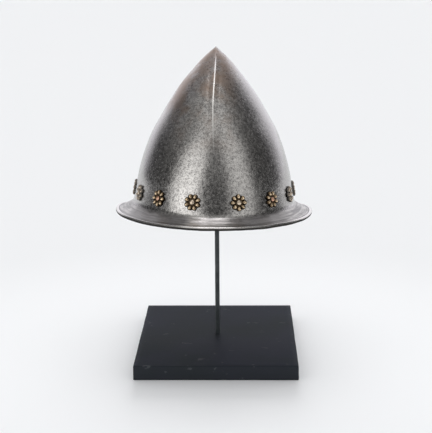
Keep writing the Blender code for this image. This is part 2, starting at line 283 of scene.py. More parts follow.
blackened, tree, shader = new_material("blackened steel rod", specular=0.35)
place = object_place(tree)
drawn = add_node(tree, "ShaderNodeMapping", {"Vector": place, "Scale": (1.0, 1.0, DRAWN_SHARE)}).outputs[0]
lines = use_group(tree, grain, Place=drawn, Size=0.0007, Contrast=1.6)["Grain"]
handled = use_group(tree, blotches, Place=place, Size=0.03, Cover=0.46, Softness=0.10)["Mask"]
colour = mix_colours(tree, handled, ROD_BLACK, ROD_WORN)
connect(tree, mix_colours(tree, 0.35, colour, lines, "OVERLAY"), shader.inputs["Base Color"])
connect(tree, smooth_step(tree, lines, 0.0, 1.0, low=0.40, high=0.56), shader.inputs["Roughness"])
add_bump(tree, shader, lines, strength=0.3, distance=0.0001)


def loft(bm, rings):
    """Joins closed rings of points, one below the other, with quads that face outwards."""
    rows = [[bm.verts.new(point) for point in ring] for ring in rings]
    sides = len(rows[0])
    for upper, lower in zip(rows, rows[1:]):
        for k in range(sides):
            n = (k + 1) % sides
            bm.faces.new((upper[k], lower[k], lower[n], upper[n]))
    return rows


def close_ring(bm, ring, point, upper=True):
    """Closes the end of a loft with a fan to one point."""
    centre = bm.verts.new(point)
    for k in range(len(ring)):
        n = (k + 1) % len(ring)
        bm.faces.new((centre, ring[k], ring[n]) if upper else (centre, ring[n], ring[k]))


def turned_mesh(profile, sides):
    """A turned solid. profile runs from its top to its bottom, and its two ends lie on the axis."""
    bm = bmesh.new()
    turns = [2 * math.pi * k / sides for k in range(sides)]
    rings = [[Vector((r * math.cos(t), r * math.sin(t), z)) for t in turns] for r, z in profile[1:-1]]
    rows = loft(bm, rings)
    close_ring(bm, rows[0], (0, 0, profile[0][1]))
    close_ring(bm, rows[-1], (0, 0, profile[-1][1]), upper=False)
    return bm


shoulder = POST_TOP_HEIGHT - POST_RADIUS
profile = []
for k in range(POST_END_STEPS + 1):
    turn = math.pi / 2 * (1 - k / POST_END_STEPS)
    profile.append((POST_RADIUS * math.cos(turn), shoulder + POST_RADIUS * math.sin(turn)))
for k in range(1, POST_RUN_STEPS + 1):
    profile.append((POST_RADIUS, shoulder + (POST_FOOT_HEIGHT - shoulder) * k / POST_RUN_STEPS))
profile.append((0.0, POST_FOOT_HEIGHT))
new_piece("display_post", turned_mesh(profile, POST_SIDES), blackened, "stand_post")


# The helmet's shell: one sheet of steel, raised hot over a stake, planished, filed along the brim, and its
# rim rolled into a bead. Four centuries of cleaning have left it bright but finely pitted, with a brown
# bloom high on the skull, and polish on the keel that a painted highlight makes brighter. The brim carries
# painted highlight and painted shade, and the underside of the bead painted shade.

SHEET = 0.0015
SKULL_HALF_WIDTH = 0.1013
SKULL_HALF_LENGTH = 0.1235
SKULL_HEIGHT = 0.1930
ROOT_RISE = 0.0095
ROOT_FILLET = 0.0050
POINT_SETBACK = 0.004

# The skull's sections: height as a share of SKULL_HEIGHT, width and length as shares of the half sizes,
# and pinch, which draws the section in beside the keel.
SECTION_COLUMNS = ("height", "width", "length", "pinch")
SKULL_SECTIONS = (
    (0.00, 1.000, 1.000, 0.00),
    (0.08, 0.971, 0.975, 0.00),
    (0.20, 0.932, 0.938, 0.01),
    (0.33, 0.862, 0.874, 0.03),
    (0.45, 0.776, 0.794, 0.07),
    (0.57, 0.651, 0.680, 0.12),
    (0.68, 0.526, 0.560, 0.16),
    (0.78, 0.392, 0.428, 0.20),
    (0.87, 0.251, 0.282, 0.22),
    (0.94, 0.127, 0.148, 0.22),
    (1.00, 0.000, 0.000, 0.22),
)

# The keel is a crest with hollow flanks and a narrow rounded top, that begins at the share KEEL_START of
# the height and is full at KEEL_FULL. In front the hammered skull bows to one side and carries it along.
KEEL_RISE = 0.0014
KEEL_HALF_WIDTH = 0.0058
KEEL_TOP_RADIUS = 0.00035
KEEL_HOLLOW = 1.35
KEEL_START = 0.40
KEEL_FULL = 0.62
KEEL_BOW = -0.0040
KEEL_BOW_SHARE = 0.62

# The brim sags a little between root and bead, and its rim dips behind the ears.
BRIM_SIDE_REACH = 0.0219
BRIM_END_REACH = 0.0220
BRIM_HOLLOW = 0.0008
RIM_DIP = 0.0050
RIM_DIP_PLACE = 0.60
BEAD_HOLLOW = 0.0008
BEAD_ENTRY = math.radians(138)
BEAD_END = math.radians(-150)
RIM_HALF_WIDTH = SKULL_HALF_WIDTH + BRIM_SIDE_REACH
RIM_HALF_LENGTH = SKULL_HALF_LENGTH + BRIM_END_REACH
BEAD_RADIUS = BEAD_HOLLOW + SHEET
BEAD_RUN = BEAD_RADIUS * (BEAD_ENTRY - BEAD_END)

# What the hammer and the file left: dents that are shallower in the brim, by BRIM_DENT_SHARE, and die out
# above SMOOTH_TIP_SHARE of the height, a brim and a bead that wander, and one deeper dent on the left.
DENT_DEPTH = 0.00026
DENT_SPAN = 0.026
BROAD_DEPTH = 0.00040
BROAD_SPAN = 0.075
BRIM_DENT_SHARE = 0.35
SMOOTH_TIP_SHARE = 0.9
BRIM_WANDER = 0.00055
BRIM_WAVE = 0.030
BEAD_WANDER = 0.00022
BEAD_WAVE = 0.009
PATCH_PLACE = Vector((-0.0785, -0.0860, 0.0085))
PATCH_RADIUS = 0.0085
PATCH_DEPTH = 0.0009

# Heights above the rim's level, between which the skull's foot, the brim's root and the bead go over.
SKULL_FOOT = (ROOT_RISE + 0.004, ROOT_RISE + 0.035)
BRIM_ROOT = (ROOT_RISE - 0.003, ROOT_RISE + 0.002)
BEAD_TOP = (0.001, 0.005)

SHELL_SIDES = 240
SIDES_AT_KEEL = 0.72
SKULL_RINGS = 96
TIP_SHARE = 0.992
FILLET_STEPS = 8
BRIM_STEPS = 14
BEAD_STEPS = 18

# How the helmet sits on the post, turned about the post's rounded end.
TILT_BACK = math.radians(2.8)
LEAN_SIDE = math.radians(1.0)
TURN_SIDE = math.radians(2.0)
SEAT_GAP = 0.0003
SEAT_SHARE = 0.96

STEEL = (0.620, 0.602, 0.585)
STEEL_DARK = (0.270, 0.262, 0.258)
STEEL_BRIGHT = (0.500, 0.488, 0.472)
# The keel's polish, made brighter as a painted highlight.
KEEL_POLISH_AND_HIGHLIGHT = (0.920, 0.900, 0.875)
DIMPLE_GREY = (0.170, 0.163, 0.158)
BROWN_BLOOM = (0.320, 0.233, 0.180)
BRIM_STEEL = (0.520, 0.502, 0.475)
# A painted highlight on the brim, just left of the front.
BRIM_PAINTED_HIGHLIGHT = (0.860, 0.835, 0.795)
BRIM_DARK = (0.150, 0.144, 0.138)
# Real stains on the brim, and painted shade on its quarters and on the bead there.
BRIM_STAIN_AND_PAINTED_SHADE = (0.110, 0.104, 0.098)
BEAD_STEEL = (0.700, 0.680, 0.655)
# Painted shade under the bead and in the crease behind it.
PAINTED_SHADE_BLACK = (0.034, 0.032, 0.031)
PIT_BLACK = (0.045, 0.040, 0.036)
INNER_BROWN = (0.060, 0.046, 0.036)
INNER_STEEL = (0.150, 0.140, 0.130)


def section_value(column, share):
    """One column of SKULL_SECTIONS at a height share, on a smooth curve through the rows."""
    rows = SKULL_SECTIONS
    index = SECTION_COLUMNS.index(column)
    last = len(rows) - 1
    k = 0
    while k < last - 1 and share > rows[k + 1][0]:
        k += 1
    span = rows[k + 1][0] - rows[k][0]

    def slope(i):
        before, after = max(i - 1, 0), min(i + 1, last)
        return (rows[after][index] - rows[before][index]) / (rows[after][0] - rows[before][0])

    s = (share - rows[k][0]) / span
    return (
        (2 * s**3 - 3 * s**2 + 1) * rows[k][index]
        + (s**3 - 2 * s**2 + s) * span * slope(k)
        + (3 * s**2 - 2 * s**3) * rows[k + 1][index]
        + (s**3 - s**2) * span * slope(k + 1)
    )


def ramp(value, start, full):
    """0 before start, 1 after full, and a smooth rise between them."""
    share = min(max((value - start) / (full - start), 0.0), 1.0)
    return share * share * (3.0 - 2.0 * share)


def skull_point(share, angle):
    """A point of the skull's outer face. angle is 0 at the front and a quarter turn at +X."""
    half_width = SKULL_HALF_WIDTH * section_value("width", share)
    half_length = SKULL_HALF_LENGTH * section_value("length", share)
    across = math.sin(angle)
    pinch = max(0.0, section_value("pinch", share))
    x = half_width * across * abs(across) ** pinch
    off_keel = (math.hypot(x, KEEL_TOP_RADIUS) - KEEL_TOP_RADIUS) / KEEL_HALF_WIDTH
    crest = KEEL_RISE * max(0.0, 1.0 - off_keel) ** KEEL_HOLLOW
    crest *= ramp(share, KEEL_START, KEEL_FULL) * min(1.0, half_length / KEEL_HALF_WIDTH)
    y = -half_length * math.cos(angle) - math.copysign(crest, math.cos(angle))
    bow = KEEL_BOW * ramp(share, 0.0, KEEL_BOW_SHARE) * (1.0 - ramp(share, KEEL_BOW_SHARE, 1.0))
    bow *= max(0.0, math.cos(angle)) ** 2
    return Vector((x + bow, y + POINT_SETBACK * share, ROOT_RISE + SKULL_HEIGHT * share))


def bead_point(angle, turn):
    """A point of the bead's outer face. turn is 0 at its outermost side and a quarter turn on top."""
    outward = Vector((math.sin(angle) / RIM_HALF_WIDTH, -math.cos(angle) / RIM_HALF_LENGTH, 0.0)).normalized()
    rim = Vector((RIM_HALF_WIDTH * math.sin(angle), -RIM_HALF_LENGTH * math.cos(angle), 0.0))
    around = math.cos(turn) * outward + math.sin(turn) * Vector((0, 0, 1))
    back = -math.cos(angle)
    rim.z -= RIM_DIP * ramp(back, 0.0, RIM_DIP_PLACE) * (1.0 - ramp(back, RIM_DIP_PLACE, 1.0))
    return rim - BEAD_RADIUS * outward + BEAD_RADIUS * around


def shell_path(angle):
    """The outer face at one angle, from under the point down the skull, along the brim, round the bead."""
    root = skull_point(0.0, angle)
    bead_start = bead_point(angle, BEAD_ENTRY)
    out = (bead_start - root).normalized()
    fillet_share = ROOT_FILLET / SKULL_HEIGHT
    above = skull_point(fillet_share, angle)
    beyond = root + out * ROOT_FILLET
    span = TIP_SHARE - fillet_share
    path = [skull_point(TIP_SHARE - span * k / (SKULL_RINGS - 1), angle) for k in range(SKULL_RINGS)]
    for k in range(1, FILLET_STEPS + 1):
        s = k / FILLET_STEPS
        path.append((1 - s) ** 2 * above + 2 * s * (1 - s) * root + s**2 * beyond)
    for k in range(1, BRIM_STEPS + 1):
        s = k / BRIM_STEPS
        sag = BRIM_HOLLOW * math.sin(math.pi * s)
        path.append(beyond.lerp(bead_start, s) - Vector((0, 0, sag)))
    for k in range(1, BEAD_STEPS + 1):
        path.append(bead_point(angle, BEAD_ENTRY + (BEAD_END - BEAD_ENTRY) * k / BEAD_STEPS))
    return path


def hand_work(point):
    """How far the maker's work raises or lowers the sheet at a point."""
    near_tip = 1.0 - ramp(point.z, ROOT_RISE + SMOOTH_TIP_SHARE * SKULL_HEIGHT, ROOT_RISE + SKULL_HEIGHT)
    dents = DENT_DEPTH * noise.noise(point / DENT_SPAN) + BROAD_DEPTH * noise.noise(point / BROAD_SPAN)
    return dents * (BRIM_DENT_SHARE + (1.0 - BRIM_DENT_SHARE) * ramp(point.z, *SKULL_FOOT)) * near_tip


def brim_work(point):
    """How far the brim and its bead wander up or down at a point, and the dent on the left."""
    level = Vector((point.x, point.y, 0.0))
    brim = 1.0 - ramp(point.z, *BRIM_ROOT)
    bead = 1.0 - ramp(point.z, *BEAD_TOP)
    wander = BRIM_WANDER * noise.noise(level / BRIM_WAVE) * brim
    wander += BEAD_WANDER * noise.noise(level / BEAD_WAVE) * bead
    away = (point - PATCH_PLACE).length / PATCH_RADIUS
    return wander - PATCH_DEPTH * ramp(1.0 - away, 0.0, 1.0) * brim


def side_angle(k):
    """The k-th angle round the shell. The angles crowd together at the keel, front and back."""
    even = 2 * math.pi * k / SHELL_SIDES
    return even - SIDES_AT_KEEL * math.sin(2 * even) / 2


def seat_of_helmet():
    """The helmet's own frame, turned about the post's rounded end."""
    ring = skull_point(SEAT_SHARE, math.pi / 2)
    point = skull_point(1.0, 0.0)
    half_angle = math.atan2(ring.x, point.z - ring.z)
    depth = (POST_RADIUS + SEAT_GAP + SHEET) / math.sin(half_angle)
    turn = Matrix.Rotation(LEAN_SIDE, 4, "Y") @ Matrix.Rotation(-TILT_BACK, 4, "X")
    turn = turn @ Matrix.Rotation(TURN_SIDE, 4, "Z")
    end_centre = Vector((0, 0, POST_TOP_HEIGHT - POST_RADIUS))
    return Matrix.Translation(end_centre) @ turn @ Matrix.Translation(Vector((0, 0, depth)) - point)


helmet_seat = seat_of_helmet()

# Where the shell's looks change, as pairs: where a change starts and where it is full. Heights are above
# the rim's level, and lengths along the sheet are from its rolled edge. A heading is the sideways share of
# the way out from the helmet's middle, from -1 at -X to 1 at +X.
BLOOM_HEIGHT = (0.075, 0.130)
BLOOM_MIDDLE = -0.018
BLOOM_SIDES = (0.055, 0.025)
BRIM_EDGE = (ROOT_RISE + 0.003, ROOT_RISE - 0.001)
KEEL_LINE = (0.00090, 0.00040)
# Heights where the keel's line of polish and painted highlight begins, ends at the point, and grows dimmer.
KEEL_LINE_FOOT = (0.066, 0.122)
KEEL_LINE_TOP = (0.196, 0.184)
KEEL_LINE_FADE = (0.154, 0.174)
FLANK_RUB = (0.97, 0.72)
BEAD_EDGE = (BEAD_RUN + 0.0004, BEAD_RUN - 0.0004)
BEAD_UNDERSIDE = (BEAD_RUN * 0.62, BEAD_RUN * 0.54)
CREASE = (0.0008, 0.0002)
# Where the brim's painted highlight lies: at the front, at the two ends, and in a stripe left of the front.
FRONT_PAINTED_HIGHLIGHT_MIDDLE = -0.07
FRONT_PAINTED_HIGHLIGHT = (0.30, 0.13)
RIGHT_PAINTED_HIGHLIGHT = (0.60, 0.78)
LEFT_PAINTED_HIGHLIGHT = (-0.80, -0.94)
BRIGHT_MIDDLE = -0.165
BRIGHT_SIDES = (0.125, 0.02)

# The values of the grain at which the darker steel ends and the lighter is full.
SPECKLE_CONTRAST = (0.30, 0.62)
STREAK_CONTRAST = (0.28, 0.68)

# How much of each finish, painted highlight and painted shade is laid over what lies under it.
DIMPLE_SHARE = 0.50
BLOOM_SHARE = 0.82
STAIN_SHARE = 0.45
RIGHT_PAINTED_HIGHLIGHT_SHARE = 0.85
LEFT_PAINTED_HIGHLIGHT_SHARE = 0.80
BRIM_PAINTED_SHADE_SHARE = 0.74
BEAD_PAINTED_SHADE_SHARE = 0.70
BRIGHT_SHARE = 0.62
BRIM_SHARE = 0.85

# What the rubbing has left of the speckle and the relief at the flanks.
FLANK_CRISPNESS = 0.22

# The relief's parts, as heights in units of RELIEF_DEPTH.
RELIEF_DEPTH = 0.000082
FINE_RELIEF = 0.30
COARSE_RELIEF = 0.75
PIT_RELIEF = -1.2
DIMPLE_RELIEF = -0.42
FILE_RELIEF = 2.6

# The radius of the circle in the grain that the file marks are drawn along, round the rim.
FILE_STRETCH = 0.006

# Pits: scattered round black pinholes, where rust has eaten into the steel. Depth is 1 in a pit. A pit's
# radius is a share of its cell, and cells whose pit would be smaller than PIT_LEAST stay whole.
PIT_REACH = 0.9
PIT_FLOOR = 0.4
PIT_LEAST = 0.02
pits, taken, given = new_group(
    "Pits", (("Place", "Vector"), ("Size", "Float"), ("Amount", "Float")), (("Depth", "Float"),)
)
scale = maths(pits, "DIVIDE", 1.0, taken["Size"])
cells = add_node(pits, "ShaderNodeTexVoronoi", {"Vector": taken["Place"], "Scale": scale, "Randomness": 1.0})
chosen = add_node(pits, "ShaderNodeTexWhiteNoise", {"Vector": cells.outputs["Position"]}).outputs["Value"]
radius = times(pits, maths(pits, "SUBTRACT", taken["Amount"], chosen), PIT_REACH)
floor_radius = times(pits, radius, PIT_FLOOR)
hole = smooth_step(pits, cells.outputs["Distance"], floor_radius, radius, low=1.0, high=0.0)
connect(pits, times(pits, hole, maths(pits, "GREATER_THAN", radius, PIT_LEAST)), given["Depth"])


def off_by(tree, value, middle):
    """How far a value lies from a middle one, to either side."""
    return maths(tree, "ABSOLUTE", maths(tree, "SUBTRACT", value, middle))


old_steel, tree, shader = new_material("old polished steel", metallic=1.0, specular=0.05)
place = mesh_layer(tree, "own_place", "Vector")
parts = add_node(tree, "ShaderNodeSeparateXYZ", {0: place}).outputs
fine = use_group(tree, grain, Place=place, Size=0.0010, Contrast=1.6)["Grain"]
coarse = use_group(tree, grain, Place=place, Size=0.0034, Contrast=1.8)["Grain"]
pit = use_group(tree, pits, Place=place, Size=0.0034, Amount=0.30)["Depth"]
pit_area = use_group(tree, blotches, Place=place, Size=0.045, Cover=0.52, Softness=0.10)["Mask"]
pit = times(tree, pit, maths(tree, "MULTIPLY_ADD", pit_area, 0.75, 0.15))
dimple = use_group(tree, pits, Place=place, Size=0.0017, Amount=0.95)["Depth"]
bloom = use_group(tree, blotches, Place=place, Size=0.050, Cover=0.50, Softness=0.10)["Mask"]
high_up = smooth_step(tree, parts["Z"], *BLOOM_HEIGHT)
bloom = times(tree, bloom, high_up, smooth_step(tree, off_by(tree, parts["X"], BLOOM_MIDDLE), *BLOOM_SIDES))
on_brim = smooth_step(tree, parts["Z"], *BRIM_EDGE)

# File marks and streaks run round the brim: grain stretched along the rim and fine across it.
level = add_node(tree, "ShaderNodeCombineXYZ", {0: parts["X"], 1: parts["Y"]}).outputs[0]
heading = add_node(tree, "ShaderNodeVectorMath", {0: level}, operation="NORMALIZE").outputs[0]
heading = add_node(tree, "ShaderNodeSeparateXYZ", {0: heading}).outputs
from_edge = mesh_layer(tree, "run")
sideways = times(tree, heading["X"], FILE_STRETCH)
lengthways = times(tree, heading["Y"], FILE_STRETCH)
marks_place = add_node(tree, "ShaderNodeCombineXYZ", {0: sideways, 1: lengthways, 2: from_edge}).outputs[0]
file_marks = use_group(tree, grain, Place=marks_place, Size=0.0011, Contrast=2.2)["Grain"]
streaks = use_group(tree, grain, Place=marks_place, Size=0.0030, Contrast=2.4)["Grain"]
streaks = weighed(tree, (streaks, 0.6), (file_marks, 0.4))

# The keel's top is rubbed to a bright line, with a painted highlight over it, less bright near the point.
keel = smooth_step(tree, mesh_layer(tree, "ridge"), *KEEL_LINE)
keel = times(tree, keel, smooth_step(tree, parts["Z"], *KEEL_LINE_FOOT))
keel = times(tree, keel, smooth_step(tree, parts["Z"], *KEEL_LINE_TOP))
keel_colour = mix_colours(tree, smooth_step(tree, parts["Z"], *KEEL_LINE_FADE), KEEL_POLISH_AND_HIGHLIGHT, STEEL_BRIGHT)

# The skull: speckled steel, grey in its dimples, rubbed smoother at the flanks, with the bloom over it.
crisp = smooth_step(tree, mesh_layer(tree, "flank"), *FLANK_RUB, low=FLANK_CRISPNESS)
speckle = weighed(tree, (fine, 0.6), (coarse, 0.4))
colour = mix_colours(tree, smooth_step(tree, speckle, *SPECKLE_CONTRAST), STEEL_DARK, STEEL)
colour = mix_colours(tree, times(tree, dimple, DIMPLE_SHARE), colour, DIMPLE_GREY)
even_steel = mix_colours(tree, 0.5, STEEL_DARK, STEEL)
colour = mix_colours(tree, crisp, even_steel, colour)
colour = mix_colours(tree, times(tree, bloom, BLOOM_SHARE), colour, BROWN_BLOOM)

# The brim: streaked and stained. Its front and its two ends are painted brighter than the quarters between,
# as painted highlight, and the quarters darker, as painted shade. A stripe of painted highlight also lies
# just left of the front.
rubbed_and_painted_highlight = smooth_step(tree, off_by(tree, heading["X"], FRONT_PAINTED_HIGHLIGHT_MIDDLE), *FRONT_PAINTED_HIGHLIGHT)
rubbed_and_painted_highlight = maths(tree, "MAXIMUM", rubbed_and_painted_highlight, smooth_step(tree, heading["X"], *RIGHT_PAINTED_HIGHLIGHT, high=RIGHT_PAINTED_HIGHLIGHT_SHARE))
rubbed_and_painted_highlight = maths(tree, "MAXIMUM", rubbed_and_painted_highlight, smooth_step(tree, heading["X"], *LEFT_PAINTED_HIGHLIGHT, high=LEFT_PAINTED_HIGHLIGHT_SHARE))
brim_painted_shade = smooth_step(tree, rubbed_and_painted_highlight, 0.0, 1.0, low=BRIM_PAINTED_SHADE_SHARE, high=0.0)
stain = use_group(tree, blotches, Place=place, Size=0.022, Cover=0.45, Softness=0.12)["Mask"]
bright = smooth_step(tree, off_by(tree, heading["X"], BRIGHT_MIDDLE), *BRIGHT_SIDES)
brim_colour = mix_colours(tree, smooth_step(tree, streaks, *STREAK_CONTRAST), BRIM_DARK, BRIM_STEEL)
brim_colour = mix_colours(tree, times(tree, stain, STAIN_SHARE), brim_colour, BRIM_STAIN_AND_PAINTED_SHADE)
brim_colour = mix_colours(tree, brim_painted_shade, brim_colour, BRIM_STAIN_AND_PAINTED_SHADE)
brim_colour = mix_colours(tree, times(tree, bright, BRIGHT_SHARE), brim_colour, BRIM_PAINTED_HIGHLIGHT)
colour = mix_colours(tree, times(tree, on_brim, BRIM_SHARE), colour, brim_colour)

# The bead is rubbed bright on top; its underside and the crease behind it are darkened with painted shade.
on_bead = smooth_step(tree, from_edge, *BEAD_EDGE)
under_bead = smooth_step(tree, from_edge, *BEAD_UNDERSIDE)
crease = smooth_step(tree, off_by(tree, from_edge, BEAD_RUN), *CREASE)
bead_colour = mix_colours(tree, times(tree, brim_painted_shade, BEAD_PAINTED_SHADE_SHARE), BEAD_STEEL, BRIM_STAIN_AND_PAINTED_SHADE)
colour = mix_colours(tree, on_bead, colour, bead_colour)
colour = mix_colours(tree, maths(tree, "MAXIMUM", crease, under_bead), colour, PAINTED_SHADE_BLACK)
colour = mix_colours(tree, pit, colour, PIT_BLACK)
colour = mix_colours(tree, keel, colour, keel_colour)
connect(tree, colour, shader.inputs["Base Color"])

plain_brim = times(tree, on_brim, maths(tree, "SUBTRACT", 1.0, on_bead))
rough = smooth_step(tree, coarse, 0.0, 1.0, low=0.17, high=0.30)
rougher = weighed(tree, (bloom, 0.10), (plain_brim, 0.10), (under_bead, 0.45))
rough = maths(tree, "ADD", rough, rougher)
connect(tree, rough, shader.inputs["Roughness"])
metal = maths(tree, "SUBTRACT", 1.0, times(tree, under_bead, 0.95))
connect(tree, metal, shader.inputs["Metallic"])

skull_relief = weighed(
    tree, (fine, FINE_RELIEF), (coarse, COARSE_RELIEF), (pit, PIT_RELIEF), (dimple, DIMPLE_RELIEF)
)
skull_relief = times(tree, skull_relief, crisp)
brim_relief = times(tree, streaks, FILE_RELIEF)
relief = add_node(tree, "ShaderNodeMix", {0: on_brim, 2: skull_relief, 3: brim_relief}).outputs[0]
smooth_parts = maths(tree, "MAXIMUM", keel, times(tree, on_bead, 0.75))
relief = times(tree, relief, maths(tree, "SUBTRACT", 1.0, smooth_parts))
add_bump(tree, shader, relief, strength=1.0, distance=RELIEF_DEPTH)

inner_steel, tree, shader = new_material("inside of the shell", metallic=1.0)
place = object_place(tree)
rust = use_group(tree, blotches, Place=place, Size=0.035, Cover=0.55, Softness=0.12)["Mask"]
scale_grain = use_group(tree, grain, Place=place, Size=0.0022, Contrast=2.0)["Grain"]
colour = mix_colours(tree, rust, INNER_STEEL, INNER_BROWN)
connect(tree, mix_colours(tree, 0.5, colour, scale_grain, "OVERLAY"), shader.inputs["Base Color"])
connect(tree, smooth_step(tree, rust, 0.0, 1.0, low=0.50, high=0.74), shader.inputs["Roughness"])
add_bump(tree, shader, scale_grain, strength=0.8, distance=0.0003)

angles = [side_angle(k) for k in range(SHELL_SIDES)]
paths = [shell_path(angle) for angle in angles]
bm = bmesh.new()
run = bm.verts.layers.float.new("run")
ridge = bm.verts.layers.float.new("ridge")
flank = bm.verts.layers.float.new("flank")
own_place = bm.verts.layers.float_vector.new("own_place")
rows = loft(bm, list(zip(*paths)))
close_ring(bm, rows[0], skull_point(1.0, 0.0))
for column in zip(*rows):
    travelled = 0.0
    for upper, lower in zip(column, column[1:]):
        travelled += (lower.co - upper.co).length
        lower[run] = travelled
    for vert in column:
        vert[run] = travelled - vert[run]
bm.normal_update()
shifts = [vert.normal * hand_work(vert.co) + Vector((0, 0, brim_work(vert.co))) for vert in bm.verts]
for vert, shift in zip(bm.verts, shifts):
    vert.co += shift
    vert[own_place] = vert.co
for row in rows:
    front, rear = row[0].co.x, row[SHELL_SIDES // 2].co.x
    for angle, vert in zip(angles, row):
        vert[ridge] = abs(vert.co.x - (front if math.cos(angle) > 0 else rear))
        vert[flank] = abs(math.sin(angle))
shell = new_piece("morion_shell", bm, old_steel, "helmet_shell", helmet_seat)
shell.data.materials.append(inner_steel)
sheet = shell.modifiers.new("Sheet", "SOLIDIFY")
sheet.thickness = SHEET
sheet.offset = -1.0
sheet.use_even_offset = True
sheet.material_offset = 1


# The rosettes: washers of cast brass with eight bead-like petals round a raised collar, once bright, now
# brown in their hollows, and greyer at the helmet's sides. Each is held against the skull by its rivet;
# they carried the lining's band.

ROSETTE_COUNT = 14
ROSETTE_BROW_STEP = 0.0545
ROSETTE_HEIGHT = 0.0168
ROSETTE_SHARE = ROSETTE_HEIGHT / SKULL_HEIGHT
ROSETTE_RADIUS = 0.0100
RIVET_SHANK_RADIUS = 0.0012
RIVET_HOLE_RADIUS = RIVET_SHANK_RADIUS + SEAT_GAP
PETALS = 8
NOTCH_RADIUS = 0.0074
PETAL_CENTRE = 0.00725
PETAL_HALF_LENGTH = 0.00290
PETAL_HALF_WIDTH = 0.00225
PETAL_RISE = 0.00205
ROSETTE_FLOOR = 0.00085
COLLAR_RADIUS = 0.00395
COLLAR_WIDTH = 0.00060
COLLAR_RISE = 0.00060
ROSETTE_SIDES = 96
ROSETTE_RINGS = 18
SLOPE_STEP = 0.001
RING_SAMPLES = 720

BRASS_RUBBED = (0.950, 0.750, 0.510)
BRASS_BROWN = (0.190, 0.130, 0.074)
BRASS_BLACK = (0.014, 0.010, 0.007)
BRASS_GREY = (0.400, 0.385, 0.360)
GREY_ROSETTES = (3, 4, 11, 12)

# Depths under the petals' crests, 0 on a crest and 1 on the floor: where a tarnish starts and is full.
BROWN_DEPTH = (0.08, 0.40)
BLACK_DEPTH = (0.60, 0.98)
CAST_SHARE = 0.35
TARNISH_SHARE = 0.55
GREY_SHARE = 0.42

old_brass, tree, shader = new_material("tarnished brass", metallic=1.0)
place = object_place(tree)
cast = use_group(tree, grain, Place=place, Size=0.0010, Contrast=1.8)["Grain"]
tarnish = use_group(tree, blotches, Place=place, Size=0.006, Cover=0.50, Softness=0.10)["Mask"]
rough_cast = times(tree, maths(tree, "SUBTRACT", cast, 0.5), CAST_SHARE)
depth = maths(tree, "ADD", mesh_layer(tree, "hollow"), rough_cast)
colour = mix_colours(tree, times(tree, tarnish, TARNISH_SHARE), BRASS_RUBBED, BRASS_BROWN)
colour = mix_colours(tree, smooth_step(tree, depth, *BROWN_DEPTH), colour, BRASS_BROWN)
colour = mix_colours(tree, smooth_step(tree, depth, *BLACK_DEPTH), colour, BRASS_BLACK)
colour = mix_colours(tree, times(tree, mesh_layer(tree, "greyer"), GREY_SHARE), colour, BRASS_GREY)
connect(tree, colour, shader.inputs["Base Color"])
connect(tree, smooth_step(tree, depth, 0.1, 0.9, low=0.20, high=0.60), shader.inputs["Roughness"])
add_bump(tree, shader, cast, strength=0.5, distance=0.0001)


def petal_share(turn):
    """How far a direction lies from its petal's middle line: 0 on it and 1 between two petals."""
    step = 2 * math.pi / PETALS
    return abs((turn / step + 0.5) % 1.0 - 0.5) * 2


def rosette_face(radius, turn):
    """The height of the rosette's face over its back."""
    off = petal_share(turn) * math.pi / PETALS
    along = (radius * math.cos(off) - PETAL_CENTRE) / PETAL_HALF_LENGTH
    across = radius * math.sin(off) / PETAL_HALF_WIDTH
    inside = 1.0 - along**2 - across**2
    petal = PETAL_RISE * math.sqrt(inside) if inside > 0 else 0.0
    collar = COLLAR_RISE * math.exp(-(((radius - COLLAR_RADIUS) / COLLAR_WIDTH) ** 2))
    return ROSETTE_FLOOR + max(petal, collar)


def rosette_bmesh(greyed):
    turns = [-2 * math.pi * k / ROSETTE_SIDES for k in range(ROSETTE_SIDES)]
    edge = []
    for turn in turns:
        swell = math.sqrt(max(0.0, 1.0 - petal_share(turn) ** 2))
        edge.append(NOTCH_RADIUS + (ROSETTE_RADIUS - NOTCH_RADIUS) * swell)
    rings = []
    for i in range(ROSETTE_RINGS + 1):
        share = i / ROSETTE_RINGS
        ring = []
        for turn, limit in zip(turns, edge):
            radius = RIVET_HOLE_RADIUS + (limit - RIVET_HOLE_RADIUS) * share
            height = rosette_face(radius, turn)
            ring.append(Vector((radius * math.cos(turn), radius * math.sin(turn), height)))
        rings.append(ring)
    back_rim = [Vector((p.x, p.y, 0.0)) for p in rings[-1]]
    back_hole = [Vector((p.x, p.y, 0.0)) for p in rings[0]]
    bm = bmesh.new()
    sunk = bm.verts.layers.float.new("hollow")
    greyer = bm.verts.layers.float.new("greyer")
    rows = loft(bm, rings + [back_rim, back_hole])
    for k in range(ROSETTE_SIDES):
        n = (k + 1) % ROSETTE_SIDES
        bm.faces.new((rows[-1][k], rows[0][k], rows[0][n], rows[-1][n]))
    for vert in bm.verts:
        vert[sunk] = 1.0 - min(1.0, max(0.0, vert.co.z - ROSETTE_FLOOR) / PETAL_RISE)
        vert[greyer] = greyed
    bmesh.ops.recalc_face_normals(bm, faces=bm.faces)
    return bm


def rosette_angles():
    """Half the brow's step to each side of the front, and equal steps round the rest of the skull."""
    turns = [2 * math.pi * k / RING_SAMPLES for k in range(RING_SAMPLES + 1)]
    points = [skull_point(ROSETTE_SHARE, turn) for turn in turns]
    lengths = [0.0]
    for a, b in zip(points, points[1:]):
        lengths.append(lengths[-1] + (b - a).length)
    step = (lengths[-1] - ROSETTE_BROW_STEP) / (ROSETTE_COUNT - 1)
    found = []
    for k in range(ROSETTE_COUNT):
        wanted = ROSETTE_BROW_STEP / 2 + step * k
        n = next(i for i, length in enumerate(lengths) if length >= wanted)
        part = (wanted - lengths[n - 1]) / (lengths[n] - lengths[n - 1])
        found.append(turns[n - 1] + part * (turns[n] - turns[n - 1]))
    return found


